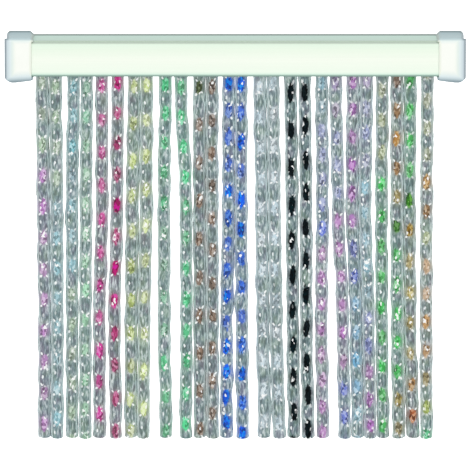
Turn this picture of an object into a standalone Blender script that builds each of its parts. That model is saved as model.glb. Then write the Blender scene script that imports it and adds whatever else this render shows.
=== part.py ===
"""Door curtain of clear PVC strands with foil knots, hung in an ivory rail with two end caps.

Metres, +Z up. The origin is the middle of the rail's flat back, which lies against the wall.
The curtain's front faces -Y, and +X is its right-hand side as seen from the front.
"""
import math
from collections import namedtuple

import bmesh
import bpy

MM = 0.001

# Rail: a C section, open along the bottom
RAIL_HEIGHT = 36.4 * MM
RAIL_DEPTH = 27.5 * MM
RAIL_WALL = 1.8 * MM
RAIL_CORNER = 1.0 * MM
RAIL_LOW_CORNER = 2.2 * MM
SLOT_WIDTH = 14 * MM
LEDGE_WIDTH = 5.0 * MM
LEDGE_DROP = 0.6 * MM

# End caps: a face plate in front, and a narrower body behind it that wraps the rail's end
CAP_INNER_X = 203.0 * MM
CAP_WIDTH = 27.0 * MM
CAP_PLATE_DEPTH = 2.0 * MM
CAP_PROUD = 1.5 * MM
CAP_RISE = 4.7 * MM
CAP_DROP_INNER = 3.1 * MM
CAP_DROP_LOWEST = 6.1 * MM
CAP_LOWEST_AT = 19.5 * MM
CAP_CORNER_DROP = 0.3 * MM
CAP_CORNER_PULL = (0.8 * MM, 2.6 * MM)
CAP_BODY_STEP = 1.9 * MM
CAP_BODY_REACH = 3.0 * MM
CAP_BODY_LEDGE = 1.2 * MM
CAP_SHOULDER = 4.7 * MM
CAP_BACK_GAP = 2.5 * MM
CAP_CORNER_PLATE = 1.2 * MM
CAP_CORNER_BODY = 5.8 * MM
CAP_EDGE_OUTER_WIDTH = 8.0 * MM
CAP_EDGE_TOP = 4.0 * MM
CAP_EDGE_BACK = 2.0 * MM
CAP_EDGE_INNER = 0.9 * MM
CAP_SOCKET = 14 * MM

# Running gap between pieces that touch on the real curtain
GAP = 0.3 * MM

# Carrier strip that lies on the rail's two lips and holds every strand
STRIP_THICKNESS = 3.0 * MM
STRIP_SIDE_GAP = 0.6 * MM
STRIP_END_INSET = 8 * MM
ROOT_DEPTH = 1.2 * MM

# Strands: square in section, swelling at each foil knot and at the plain link between two knots
STRAND_LENGTH = 387.2 * MM
NECK_WIDTH = 8.6 * MM
KNOT_WIDTH = 11.9 * MM
LINK_WIDTH = 11.0 * MM
PINCH_WIDTH = 10.4 * MM
END_WIDTH = 11.2 * MM
NECK_DROP = 1.0 * MM
RING_CLEARANCE = 3.5 * MM
SWAY = 0.25 * MM
SWAY_WAVE = 74 * MM
STAGGER = 1.1 * MM
STAGGER_DROP = 45 * MM

# How far below the rail's bottom edge each of a strand's four sideways places is read
PLACE_DROPS = (10 * MM, 138 * MM, 266 * MM, 383 * MM)

# One row a strand, in millimetres: its place across the rail at the four drops above, the drop of
# its first knot, the spacing of its knots, and how far its middle knots sit below an even spacing
Strand = namedtuple("Strand", "at_rail upper lower at_end first_knot spacing slack")
STRANDS = (
    Strand(-192.7, -192.2, -191.2, -191.7, 8.5, 33.0, 0.0),
    Strand(-179.2, -178.2, -178.2, -178.7, 12.8, 32.0, 0.0),
    Strand(-161.2, -163.2, -163.4, -163.7, 12.8, 31.6, 0.0),
    Strand(-148.2, -149.2, -150.2, -150.7, 14.4, 31.1, -3.0),
    Strand(-133.2, -133.2, -136.2, -136.2, 11.7, 35.0, 2.0),
    Strand(-117.2, -118.2, -121.2, -119.7, 8.5, 33.7, -6.0),
    Strand(-100.9, -103.2, -104.4, -104.9, 11.7, 36.7, 8.5),
    Strand(-88.2, -88.7, -91.2, -92.4, 11.7, 38.3, -6.0),
    Strand(-69.7, -71.2, -71.2, -69.4, 11.7, 33.5, -11.0),
    Strand(-54.2, -49.2, -48.7, -49.7, 12.8, 32.7, -4.0),
    Strand(-35.8, -35.8, -35.7, -35.2, 12.8, 40.6, 0.0),
    Strand(-23.1, -23.1, -22.7, -22.6, 12.8, 34.7, 0.0),
    Strand(-6.5, -6.7, -8.7, -8.7, 9.6, 27.7, 4.0),
    Strand(6.0, 5.9, 6.8, 7.3, 8.5, 31.0, 0.0),
    Strand(24.3, 26.3, 27.3, 29.3, 12.8, 32.4, 0.0),
    Strand(37.8, 39.3, 41.3, 44.1, 8.5, 33.0, 0.0),
    Strand(55.3, 56.8, 57.8, 59.0, 18.1, 37.7, 7.0),
    Strand(69.3, 70.8, 71.3, 73.3, 18.1, 35.8, 0.0),
    Strand(86.3, 87.3, 86.3, 88.1, 9.2, 26.6, -5.0),
    Strand(100.3, 102.8, 107.9, 109.9, 7.5, 29.8, -2.0),
    Strand(117.3, 116.8, 121.0, 123.1, 7.3, 29.6, 0.0),
    Strand(131.3, 129.8, 133.6, 135.8, 7.0, 28.2, -2.0),
    Strand(146.8, 146.3, 146.8, 148.3, 15.0, 32.5, 5.0),
    Strand(161.3, 161.5, 162.3, 164.0, 6.0, 30.9, 0.0),
    Strand(174.8, 174.1, 175.3, 178.6, 5.8, 32.5, -2.0),
    Strand(191.8, 191.3, 191.3, 192.1, 27.4, 29.7, -3.0),
)

# Colours as linear red, green and blue
RAIL_IVORY = (0.84, 0.93, 0.80, 1)
CAP_WHITE = (0.90, 0.93, 0.92, 1)
CLEAR_PVC_GREY = (0.28, 0.36, 0.34, 1)

# Turns that lay an outline's own plane square to each axis
ALONG_X = (math.pi / 2, 0, math.pi / 2)
ALONG_Y = (math.pi / 2, 0, 0)
ALONG_Z = (0, 0, 0)


def clear_scene():
    for item in list(bpy.data.objects):
        bpy.data.objects.remove(item, do_unlink=True)


def add_collection(name):
    collection = bpy.data.collections.new(name)
    bpy.context.scene.collection.children.link(collection)
    return collection


def add_material(name, colour, roughness):
    material = bpy.data.materials.new(name)
    material.use_nodes = True
    shader = material.node_tree.nodes["Principled BSDF"]
    shader.inputs["Base Color"].default_value = colour
    shader.inputs["Roughness"].default_value = roughness
    shader.inputs["Metallic"].default_value = 0
    return material


def curve_to_mesh(guide, collection):
    """Change a curve object into a mesh of the same name and place, with its caps welded on."""
    name = guide.name
    evaluated = guide.evaluated_get(bpy.context.evaluated_depsgraph_get())
    mesh = bpy.data.meshes.new_from_object(evaluated)
    shape = bmesh.new()
    shape.from_mesh(mesh)
    bmesh.ops.remove_doubles(shape, verts=shape.verts, dist=0.00001)
    bmesh.ops.recalc_face_normals(shape, faces=shape.faces)
    shape.to_mesh(mesh)
    shape.free()
    place = guide.matrix_world.copy()
    bpy.data.objects.remove(guide, do_unlink=True)
    solid = bpy.data.objects.new(name, mesh)
    solid.matrix_world = place
    collection.objects.link(solid)
    return solid


def add_prism(name, outline, low, high, turn, collection):
    """Push a closed outline out from low to high along the axis that the turn gives."""
    curve = bpy.data.curves.new(name, "CURVE")
    curve.dimensions = "2D"
    curve.fill_mode = "BOTH"
    curve.extrude = (high - low) / 2
    spline = curve.splines.new("POLY")
    spline.points.add(len(outline) - 1)
    for point, (across, up) in zip(spline.points, outline):
        point.co = (across, up, 0, 1)
    spline.use_cyclic_u = True
    guide = bpy.data.objects.new(name, curve)
    collection.objects.link(guide)
    middle = (low + high) / 2
    guide.rotation_euler = turn
    guide.location = {ALONG_X: (middle, 0, 0), ALONG_Y: (0, middle, 0), ALONG_Z: (0, 0, middle)}[turn]
    bpy.context.view_layer.update()
    return curve_to_mesh(guide, collection)


def hide_cutter(cutter):
    cutter.hide_render = True
    cutter.display_type = "WIRE"


def combine(target, other, operation):
    boolean = target.modifiers.new(other.name, "BOOLEAN")
    boolean.operation = operation
    boolean.object = other
    boolean.solver = "EXACT"
    hide_cutter(other)


def smooth_round_faces(solid):
    solid.data.shade_smooth()
    solid.data.set_sharp_from_angle(angle=math.radians(35))


def arc(across, up, radius, start, end, steps):
    """Points of a round corner about a centre, with angles in degrees."""
    turns = (math.radians(start + (end - start) * step / steps) for step in range(steps + 1))
    return [(across + radius * math.cos(turn), up + radius * math.sin(turn)) for turn in turns]


def rail_outline():
    """The rail's C section, with a shallow ledge along its top front edge."""
    top = RAIL_HEIGHT / 2
    bottom = -top
    front = -RAIL_DEPTH
    slot_front = front / 2 - SLOT_WIDTH / 2
    slot_back = front / 2 + SLOT_WIDTH / 2
    inner_front = front + RAIL_WALL
    inner_back = -RAIL_WALL
    lip_top = bottom + RAIL_WALL
    ledge = top - LEDGE_DROP
    points = [(slot_front, bottom)]
    points += arc(front + RAIL_LOW_CORNER, bottom + RAIL_LOW_CORNER, RAIL_LOW_CORNER, 270, 180, 5)
    points += arc(front + RAIL_CORNER, ledge - RAIL_CORNER, RAIL_CORNER, 180, 90, 4)
    points += [(front + LEDGE_WIDTH, ledge), (front + LEDGE_WIDTH, top)]
    points += arc(-RAIL_CORNER, top - RAIL_CORNER, RAIL_CORNER, 90, 0, 4)
    points += [(0, bottom), (slot_back, bottom), (slot_back, lip_top), (inner_back, lip_top)]
    points += [(inner_back, top - RAIL_WALL), (inner_front, top - RAIL_WALL)]
    points += [(inner_front, lip_top), (slot_front, lip_top)]
    return points


def make_rail(collection):
    half_length = CAP_INNER_X + CAP_SOCKET - GAP
    rail = add_prism("rail", rail_outline(), -half_length, half_length, ALONG_X, collection)
    rail.data.materials.append(add_material("rail_ivory", RAIL_IVORY, 0.35))
    smooth_round_faces(rail)


def cap_outline(outer, corner, inner, shoulder, side):
    """A cap's outline from the front, with its sloping bottom and its large lower corner."""
    top = RAIL_HEIGHT / 2 + CAP_RISE
    bottom_inner = -RAIL_HEIGHT / 2 - CAP_DROP_INNER
    lowest = -RAIL_HEIGHT / 2 - CAP_DROP_LOWEST
    lowest_at = CAP_LOWEST_AT + outer - CAP_WIDTH
    corner_top = -RAIL_HEIGHT / 2 - CAP_CORNER_DROP
    pull_in, pull_down = CAP_CORNER_PULL
    points = [(inner, top - shoulder), (inner + shoulder, top)]
    points += arc(outer - corner, top - corner, corner, 90, 0, 5)
    for step in range(6):
        share = step / 5
        start_pull = (1 - share) ** 2
        middle_pull = 2 * share * (1 - share)
        end_pull = share ** 2
        across = (start_pull + middle_pull) * outer - middle_pull * pull_in + end_pull * lowest_at
        up = (start_pull + middle_pull) * corner_top - middle_pull * pull_down + end_pull * lowest
        points.append((across, up))
    points.append((inner, bottom_inner))
    return [(side * (CAP_INNER_X + across), up) for across, up in points]


def cap_side_outline(front, back):
    """A cap's outline from the side, with its rounded front and back edges."""
    top = RAIL_HEIGHT / 2 + CAP_RISE
    bottom = -RAIL_HEIGHT / 2 - CAP_DROP_LOWEST
    low_edge = CAP_DROP_INNER * 0.9
    points = arc(front + CAP_EDGE_TOP, top - CAP_EDGE_TOP, CAP_EDGE_TOP, 180, 90, 6)
    points += arc(back - CAP_EDGE_BACK, top - CAP_EDGE_BACK, CAP_EDGE_BACK, 90, 0, 4)
    points += arc(back - CAP_EDGE_BACK, bottom + CAP_EDGE_BACK, CAP_EDGE_BACK, 0, -90, 4)
    points += arc(front + low_edge, bottom + low_edge, low_edge, -90, -180, 4)
    return points


def cap_plan_outline(front, back, side):
    """A cap's outline from above: a long soft outer edge, an eased inner one and an oblique inner end."""
    outer = CAP_INNER_X + CAP_WIDTH
    flatness = CAP_EDGE_OUTER_WIDTH / CAP_PLATE_DEPTH
    soft = arc(0, 0, CAP_PLATE_DEPTH, 0, -90, 8)
    points = [(outer, back)]
    points += [(outer - CAP_EDGE_OUTER_WIDTH + across * flatness, front + CAP_PLATE_DEPTH + away)
               for across, away in soft]
    points += arc(CAP_INNER_X + CAP_EDGE_INNER, front + CAP_EDGE_INNER, CAP_EDGE_INNER, -90, -180, 3)
    ledge_front = front + CAP_PLATE_DEPTH + GAP
    points += [(CAP_INNER_X, ledge_front), (CAP_INNER_X - CAP_BODY_LEDGE, ledge_front)]
    points += [(CAP_INNER_X - CAP_BODY_REACH, back)]
    return [(side * across, away) for across, away in points]


def make_cap(name, side, material, collection, cutters):
    front = -RAIL_DEPTH - CAP_PROUD
    back = -CAP_BACK_GAP
    plate_back = front + CAP_PLATE_DEPTH
    far = RAIL_HEIGHT
    plate_outline = cap_outline(CAP_WIDTH, CAP_CORNER_PLATE, 0, CAP_SHOULDER - CAP_BODY_REACH, side)
    cap = add_prism(name, plate_outline, front, plate_back, ALONG_Y, collection)
    body_outline = cap_outline(CAP_WIDTH - CAP_BODY_STEP, CAP_CORNER_BODY, -CAP_BODY_REACH,
                               CAP_SHOULDER, side)
    body = add_prism(name + "_body", body_outline, plate_back - GAP, back, ALONG_Y, cutters)
    combine(cap, body, "UNION")
    ends = sorted((side * (CAP_INNER_X - far), side * (CAP_INNER_X + far)))
    from_side = add_prism(name + "_from_side", cap_side_outline(front, back),
                          ends[0], ends[1], ALONG_X, cutters)
    combine(cap, from_side, "INTERSECT")
    from_above = add_prism(name + "_from_above", cap_plan_outline(front, back, side),
                           -far, far, ALONG_Z, cutters)
    combine(cap, from_above, "INTERSECT")
    ends = sorted((side * (CAP_INNER_X - far), side * (CAP_INNER_X + CAP_SOCKET)))
    half_socket = RAIL_HEIGHT / 2 + GAP
    socket_front = -RAIL_DEPTH - GAP
    socket_outline = [(socket_front, -half_socket), (far, -half_socket)]
    socket_outline += [(far, half_socket), (socket_front, half_socket)]
    socket = add_prism(name + "_socket", socket_outline, ends[0], ends[1], ALONG_X, cutters)
    combine(cap, socket, "DIFFERENCE")
    cap.data.materials.append(material)
    smooth_round_faces(cap)


def ease(share):
    return share * share * (3 - 2 * share)


def strand_across(row, drop):
    """A strand's place across the rail at a drop below the rail's bottom edge."""
    places = (row.at_rail, row.upper, row.lower, row.at_end)
    for index in range(len(PLACE_DROPS) - 1):
        low, high = PLACE_DROPS[index], PLACE_DROPS[index + 1]
        if drop <= high:
            share = ease(min(max((drop - low) / (high - low), 0), 1))
            return (places[index] + (places[index + 1] - places[index]) * share) * MM
    return places[-1] * MM


def strand_sections(row):
    """Drops and widths down one strand: knot, pinch, plain link, pinch, and so on to the end."""
    widths = (KNOT_WIDTH, PINCH_WIDTH, LINK_WIDTH, PINCH_WIDTH)
    quarter = row.spacing * MM / 4
    sections = []
    for step in range(-4, int(STRAND_LENGTH / quarter) + 2):
        even = row.first_knot * MM + step * quarter
        drop = even + row.slack * MM * math.sin(math.pi * min(max(even / STRAND_LENGTH, 0), 1))
        if NECK_DROP + RING_CLEARANCE < drop < STRAND_LENGTH - RING_CLEARANCE:
            sections.append((drop, widths[step % 4]))
    return sections + [(STRAND_LENGTH, END_WIDTH)]


def strand_points(index, row, root_height):
    """Points and section radii down one strand, from its root in the carrier strip."""
    middle = -RAIL_DEPTH / 2
    bottom = -RAIL_HEIGHT / 2
    root_across = row.at_rail * MM
    points = [((root_across, middle, root_height), NECK_WIDTH)]
    points.append(((root_across, middle, bottom - NECK_DROP), NECK_WIDTH))
    forward = -STAGGER if index % 2 else STAGGER
    for drop, width in strand_sections(row):
        turn = 2 * math.pi * drop / SWAY_WAVE + 2.1 * index
        hang = ease(min(drop / STAGGER_DROP, 1))
        across = strand_across(row, drop) + SWAY * math.sin(turn) * hang
        away = middle + (forward + SWAY * math.cos(turn)) * hang
        points.append(((across, away, bottom - drop), width))
    return [(place, width / math.sqrt(2)) for place, width in points]


def make_strands(collection, cutters):
    lip_top = -RAIL_HEIGHT / 2 + RAIL_WALL
    strip_bottom = lip_top + GAP
    half_length = CAP_INNER_X + CAP_SOCKET - STRIP_END_INSET
    bpy.ops.mesh.primitive_cube_add(
        size=1, location=(0, -RAIL_DEPTH / 2, strip_bottom + STRIP_THICKNESS / 2))
    strip = bpy.context.object
    strip.name = "strands"
    strip.dimensions = (2 * half_length, RAIL_DEPTH - 2 * RAIL_WALL - 2 * STRIP_SIDE_GAP, STRIP_THICKNESS)
    bpy.ops.object.transform_apply(location=False, rotation=False, scale=True)
    for owner in list(strip.users_collection):
        owner.objects.unlink(strip)
    collection.objects.link(strip)
    curve = bpy.data.curves.new("strand_lengths", "CURVE")
    curve.dimensions = "3D"
    curve.twist_mode = "MINIMUM"
    curve.fill_mode = "FULL"
    curve.bevel_depth = MM
    curve.bevel_resolution = 0
    curve.use_fill_caps = True
    for index, row in enumerate(STRANDS):
        points = strand_points(index, row, strip_bottom + ROOT_DEPTH)
        spline = curve.splines.new("POLY")
        spline.points.add(len(points) - 1)
        for point, (place, radius) in zip(spline.points, points):
            point.co = (*place, 1)
            point.radius = radius / MM
            point.tilt = math.pi / 4
    guide = bpy.data.objects.new("strand_lengths", curve)
    cutters.objects.link(guide)
    bpy.context.view_layer.update()
    lengths = curve_to_mesh(guide, cutters)
    combine(strip, lengths, "UNION")
    strip.data.materials.append(add_material("clear_pvc", CLEAR_PVC_GREY, 0.25))


def main():
    clear_scene()
    collection = add_collection("strand_curtain")
    cutters = add_collection("strand_curtain_cutters")
    cap_material = add_material("cap_white", CAP_WHITE, 0.4)
    make_rail(collection)
    make_cap("end_cap_left", -1, cap_material, collection, cutters)
    make_cap("end_cap_right", 1, cap_material, collection, cutters)
    make_strands(collection, cutters)


main()
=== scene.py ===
"""Looks of the strand door curtain: ivory rail, moulded end caps, and braided clear PVC strands
with knots of coloured foil.

Metres, +Z up. The curtain's front faces -Y, and the rail's flat back lies at y = 0.
"""
import math
from collections import namedtuple

import bpy
import numpy as np
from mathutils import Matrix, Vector


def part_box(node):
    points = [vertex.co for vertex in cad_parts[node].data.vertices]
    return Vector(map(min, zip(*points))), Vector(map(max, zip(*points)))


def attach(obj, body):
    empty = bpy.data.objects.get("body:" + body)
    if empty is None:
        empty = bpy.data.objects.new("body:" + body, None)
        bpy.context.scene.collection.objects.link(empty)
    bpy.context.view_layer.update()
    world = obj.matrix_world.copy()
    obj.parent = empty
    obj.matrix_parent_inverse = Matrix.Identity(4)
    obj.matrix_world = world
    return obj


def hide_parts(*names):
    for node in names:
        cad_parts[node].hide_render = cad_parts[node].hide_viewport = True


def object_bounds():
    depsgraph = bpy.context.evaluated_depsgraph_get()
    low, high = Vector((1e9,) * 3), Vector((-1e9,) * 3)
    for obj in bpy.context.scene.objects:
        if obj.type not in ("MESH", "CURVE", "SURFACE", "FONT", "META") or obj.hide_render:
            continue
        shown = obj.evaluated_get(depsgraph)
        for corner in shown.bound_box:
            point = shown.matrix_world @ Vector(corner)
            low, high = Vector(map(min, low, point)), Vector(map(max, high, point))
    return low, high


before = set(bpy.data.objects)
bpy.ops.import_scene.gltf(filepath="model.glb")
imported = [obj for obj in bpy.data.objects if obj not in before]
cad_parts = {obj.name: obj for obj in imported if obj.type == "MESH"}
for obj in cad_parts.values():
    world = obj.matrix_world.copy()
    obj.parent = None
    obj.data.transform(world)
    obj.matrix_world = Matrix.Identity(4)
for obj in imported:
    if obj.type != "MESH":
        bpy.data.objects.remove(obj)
cad_low, cad_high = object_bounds()

MM = 0.001

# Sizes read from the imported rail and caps
rail_low, rail_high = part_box("rail")
strands_low, strands_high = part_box("strands")
RAIL_BOTTOM = rail_low.z
RAIL_TOP = rail_high.z
RAIL_FRONT = rail_low.y
RAIL_MIDDLE = (rail_low.y + rail_high.y) / 2
STRIP_TOP = strands_high.z
STRAND_END = strands_low.z
STRAND_LENGTH = RAIL_BOTTOM - STRAND_END

# Carrier strip inside the rail, and how deep the strands' roots reach into it
STRIP_THICKNESS = 3.0 * MM
STRIP_SIDE_GAP = 2.4 * MM
STRIP_BEVEL = 0.6 * MM
STRIP_SMOOTHING = math.radians(40)
ROOT_DEPTH = 1.2 * MM

# End caps, in millimetres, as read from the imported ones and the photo
CAP_INNER = 203.0
CAP_OUTER = cad_high.x / MM
CAP_TOP = cad_high.z / MM
CAP_BACK_GAP = 2.5
CAP_LOW_INNER = -21.6
CAP_SLOPE = 0.06
CAP_BODY_STEP = 1.9
CAP_INNER_SLOPE_REACH = 3.0

# How far below the rail's bottom edge each of a strand's four sideways places is read
PLACE_DROPS = (10 * MM, 138 * MM, 266 * MM, 383 * MM)

# How a strand sways and wobbles about its line, how much further round each next strand's waves
# start, and how far every other strand hangs forward, from which drop on
SWAY = 0.25 * MM
SWAY_WAVE = 74 * MM
SWAY_START = 2.1
WOBBLE = 0.25 * MM
WOBBLE_WAVE = 41 * MM
WOBBLE_START = 3.3
STAGGER = 1.1 * MM
STAGGER_DROP = 45 * MM

# One row a strand, in millimetres: its place across the rail at the four drops above, the drop of
# its first knot, the spacing of its knots, and how far its middle knots sit below an even spacing
Strand = namedtuple("Strand", "at_rail upper lower at_end first_knot spacing slack")
STRANDS = (
    Strand(-192.7, -192.2, -191.2, -191.7, 8.5, 33.0, 0.0),
    Strand(-179.2, -178.2, -178.2, -178.7, 12.8, 32.0, 0.0),
    Strand(-161.2, -163.2, -163.4, -163.7, 12.8, 31.6, 0.0),
    Strand(-148.2, -149.2, -150.2, -150.7, 14.4, 31.1, -3.0),
    Strand(-133.2, -133.2, -136.2, -136.2, 11.7, 35.0, 2.0),
    Strand(-117.2, -118.2, -121.2, -119.7, 8.5, 33.7, -6.0),
    Strand(-100.9, -103.2, -104.4, -104.9, 11.7, 36.7, 8.5),
    Strand(-88.2, -88.7, -91.2, -92.4, 11.7, 38.3, -6.0),
    Strand(-69.7, -71.2, -71.2, -69.4, 11.7, 33.5, -11.0),
    Strand(-54.2, -49.2, -48.7, -49.7, 12.8, 32.7, -4.0),
    Strand(-35.8, -35.8, -35.7, -35.2, 12.8, 40.6, 0.0),
    Strand(-23.1, -23.1, -22.7, -22.6, 12.8, 34.7, 0.0),
    Strand(-6.5, -6.7, -8.7, -8.7, 9.6, 27.7, 4.0),
    Strand(6.0, 5.9, 6.8, 7.3, 8.5, 31.0, 0.0),
    Strand(24.3, 26.3, 27.3, 29.3, 12.8, 32.4, 0.0),
    Strand(37.8, 39.3, 41.3, 44.1, 8.5, 33.0, 0.0),
    Strand(55.3, 56.8, 57.8, 59.0, 18.1, 37.7, 7.0),
    Strand(69.3, 70.8, 71.3, 73.3, 18.1, 35.8, 0.0),
    Strand(86.3, 87.3, 86.3, 88.1, 9.2, 26.6, -5.0),
    Strand(100.3, 102.8, 107.9, 109.9, 7.5, 29.8, -2.0),
    Strand(117.3, 116.8, 121.0, 123.1, 7.3, 29.6, 0.0),
    Strand(131.3, 129.8, 133.6, 135.8, 7.0, 28.2, -2.0),
    Strand(146.8, 146.3, 146.8, 148.3, 15.0, 32.5, 5.0),
    Strand(161.3, 161.5, 162.3, 164.0, 6.0, 30.9, 0.0),
    Strand(174.8, 174.1, 175.3, 178.6, 5.8, 32.5, -2.0),
    Strand(191.8, 191.3, 191.3, 192.1, 27.4, 29.7, -3.0),
)

# Foil colours as they show, in red, green and blue out of 255
FOIL_COLOURS = {
    "straw": (168, 190, 168),
    "cream": (178, 188, 156),
    "pale_blue": (154, 190, 204),
    "light_blue": (162, 202, 212),
    "azure": (126, 184, 220),
    "aqua": (142, 198, 208),
    "mint": (166, 212, 182),
    "sage": (140, 192, 164),
    "magenta": (186, 138, 194),
    "crimson": (184, 54, 118),
    "rose": (196, 84, 150),
    "purple": (178, 122, 192),
    "violet": (138, 148, 198),
    "lavender": (162, 170, 204),
    "pink": (172, 162, 192),
    "yellow": (190, 206, 140),
    "pale_yellow": (212, 226, 168),
    "emerald": (104, 200, 146),
    "bright_green": (86, 196, 106),
    "dark_green": (50, 118, 30),
    "olive": (72, 88, 44),
    "copper": (134, 114, 100),
    "blue": (42, 102, 218),
    "deep_violet": (110, 124, 202),
    "silver": (196, 212, 220),
    "black": (2, 17, 22),
    "orange": (170, 128, 78),
    "amber": (146, 110, 20),
    "tan": (190, 152, 110),
    "peach": (212, 184, 156),
    "gold": (188, 172, 108),
    "bronze": (160, 146, 96),
    "lime": (168, 184, 104),
    "red": (174, 92, 46),
}

# Runs of foil colour down each strand, from the top: how many knots, then the colour
FOIL_RUNS = (
    ((3, "straw"), (9, "magenta")),
    ((4, "straw"), (8, "light_blue")),
    ((3, "aqua"), (1, "pale_blue"), (3, "light_blue"), (5, "straw")),
    ((2, "sage"), (10, "mint")),
    ((12, "rose"),),
    ((12, "crimson"),),
    ((12, "yellow"),),
    ((12, "pale_yellow"),),
    ((5, "emerald"), (4, "sage"), (3, "emerald")),
    ((12, "emerald"),),
    ((1, "olive"), (12, "copper")),
    ((12, "copper"),),
    ((14, "blue"),),
    ((13, "blue"),),
    ((12, "silver"),),
    ((12, "silver"),),
    ((12, "black"),),
    ((12, "black"),),
    ((2, "pale_blue"), (2, "lavender"), (2, "violet"), (1, "deep_violet"), (9, "magenta")),
    ((2, "pink"), (3, "lavender"), (6, "magenta"), (3, "deep_violet")),
    ((6, "purple"), (2, "deep_violet"), (4, "azure"), (2, "pale_blue")),
    ((1, "pink"), (3, "lavender"), (5, "pale_blue"), (2, "violet"), (4, "purple")),
    ((3, "cream"), (10, "bright_green")),
    ((1, "copper"), (3, "orange"), (1, "bronze"), (1, "dark_green"), (5, "bright_green"),
     (3, "bronze")),
    ((4, "bright_green"), (1, "dark_green"), (1, "amber"), (4, "gold"), (1, "orange"), (1, "red"),
     (1, "bronze")),
    ((3, "cream"), (2, "orange"), (1, "cream"), (2, "peach"), (2, "tan"), (1, "bronze"),
     (1, "lime"), (2, "emerald")),
)

# Braid, in millimetres and degrees: four pairs of flat tapes around a core. The front and back
# pairs cross at each knot, and the two side pairs halfway between knots. How far tapes and core
# reach is given at a knot, at the pinch place beside it, and at the link halfway to the next knot
TAPE_WIDTH = 6.0
TAPE_THICKNESS = 0.8
TAPE_SHOULDER = 0.45
TAPE_OUTER_SHARE = 0.62
TAPE_STEPS = 12
LAYER_LIFT = 0.42
TAPE_REACH = {"knot": 6.4, "pinch": 6.1, "link": 5.8}
CORE_REACH = {"knot": 4.9, "pinch": 4.8, "link": 4.5}
CORE_SIDES = 8
PINCH_PLACE = 0.25
PAIR_TURNS = (0, 90, 180, 270)
FRONT_SPREAD = 28
SIDE_SPREAD = 31
SPREAD_POWER = 0.7

# Making a strand: how many millimetres it starts above the rail's bottom edge before it is cut, the
# reach of its weld, and the angle up to which it is smooth
ROOT_ALLOWANCE = 2
WELD_REACH = 0.02 * MM
STRAND_SMOOTHING = math.radians(50)

# Swelling along a strand: its share, then each wave's turn a knot, its start and its strength
SWELL = 0.03
SWELL_WAVES = ((2.4, 1.7, 1.0), (4.1, 1.0, 0.8))

# Strands that press against the next one to the right, whose sides meet it halfway. All others keep
# a small gap where they hang close
TOUCHING = (0, 6, 10, 12, 14, 20, 23)
PRESS_DISTANCE = (14.4, 15.6)
PRESS_SCALES = (0.8, 1.2)
PRESS_OVERLAP = 0.1
CLOSE_GAP = 0.3

# Painted white highlights above and below each knot: how strongly each may show, then their place
# and half size
KNOT_HIGHLIGHT_STRENGTHS = (0.0, 0.3, 0.6, 0.9, 1.0)
KNOT_HIGHLIGHT_PLACE = (2.9, 7.8)
KNOT_HIGHLIGHT_SIZE = (1.2, 1.7)
KNOT_HIGHLIGHT_LEAN = 0.3
KNOT_HIGHLIGHT_WANDER = 0.8
KNOT_HIGHLIGHT_EDGE = (0.0, 0.45)
KNOT_HIGHLIGHT_TONE = (252, 255, 255)

# Painted white highlights on the left of the braid, halfway between knots
LINK_HIGHLIGHT_STRENGTHS = (0.0, 0.45, 0.8, 1.0)
LINK_HIGHLIGHT_PLACES = (-3.0, -1.3)
LINK_HIGHLIGHT_SIZE = (0.95, 2.2)
LINK_HIGHLIGHT_EDGE = (0.0, 0.5)
LINK_HIGHLIGHT_TONE = (250, 254, 254)

# Foil seen through the tape: half its width and length, how its edge wanders and fades, how much
# narrower it shows at the strand's sides, how knots differ in length, and how far it tints the tape
SEEN_FOIL = (3.7, 8.5)
SEEN_WANDER = 2.5
SEEN_EDGE = (-0.1, 0.35)
SIDE_NARROWING = 1.9
KNOT_SHRINK = (0.85, 1.28)
TINT_REACH = 7.0

# How much the distances across and along from a knot's middle count: black knots show narrower and
# longer than the others, and blue ones larger
KNOT_STRETCH = {"black": (1.1, 0.74), "blue": (0.95, 0.93)}

# Foil knots, in millimetres and degrees, and how much knots of one colour differ in brightness and
# in vividness
FOIL_BRIGHTNESS = (0.84, 1.16)
FOIL_VIVIDNESS = (0.74, 1.22)
FOIL_REACH = (4.6, 5.4)
# How each face of a knot is toned, darker or towards white: painted shade and painted highlights
FOIL_FACE_SHADING = (-0.65, -0.25, 0.0, 0.5, 0.9)
FOIL_SIDES = 8
FOIL_RINGS = 7
FOIL_HALF_LENGTH = 8.2
FOIL_SHAPES = 4
FOIL_SHAPE_TURN = 11
FOIL_CRUMPLE = 0.8
FOIL_EVENNESS = 0.2
FOIL_LENGTHS = (0.8, 1.05)
FOIL_WIDTHS = (0.88, 1.0)
FOIL_LEANS = (-6, 6)
FOIL_TOP = RAIL_BOTTOM + 1 * MM
FOIL_END = STRAND_END + 0.02 * MM

# The number that all chance starts from
CHANCE_START = 26

# Faces that look along an axis have at least this share of their facing on it
ALONG = 0.9

# Relief of every surface, and the greys of faint marks and of creases, each after its place. The
# crease greys are painted shade in the foil's creases
BUMP_STRENGTH = 0.5
FAINT_SHADES = ((0.3, 0.5), (0.7, 1.0))
CREASE_SHADES = ((0.35, 0.55), (0.65, 1.0))

# Tones of the rail as they show, each after its place: up its face, and over its top from the back.
# The face's lowest tones are painted shade on its rounded lower edge, and its highest a painted
# shade line along its top edge. The top's tones are painted shade too: a dark line along its back
# edge, a greyer top, and a darker line towards its front edge
RAIL_FACE_TONES = (
    (0.0, (136, 164, 154)), (0.055, (152, 182, 170)), (0.09, (222, 245, 230)),
    (0.15, (242, 253, 239)), (0.5, (248, 254, 242)), (0.78, (239, 251, 235)),
    (0.94, (233, 250, 233)), (0.965, (222, 238, 220)), (1.0, (196, 212, 194)))
RAIL_TOP_TONES = (
    (0.0, (130, 146, 140)), (0.17, (139, 156, 149)), (0.24, (214, 238, 226)),
    (0.7, (212, 233, 221)), (0.8, (204, 218, 206)), (0.9, (202, 216, 200)))
RAIL_TOP_FACING = (0.3, 0.9)
DRAW_LINE_STRETCH = (6, 900, 900)
DRAW_LINE_SHARE = 0.05
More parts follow.
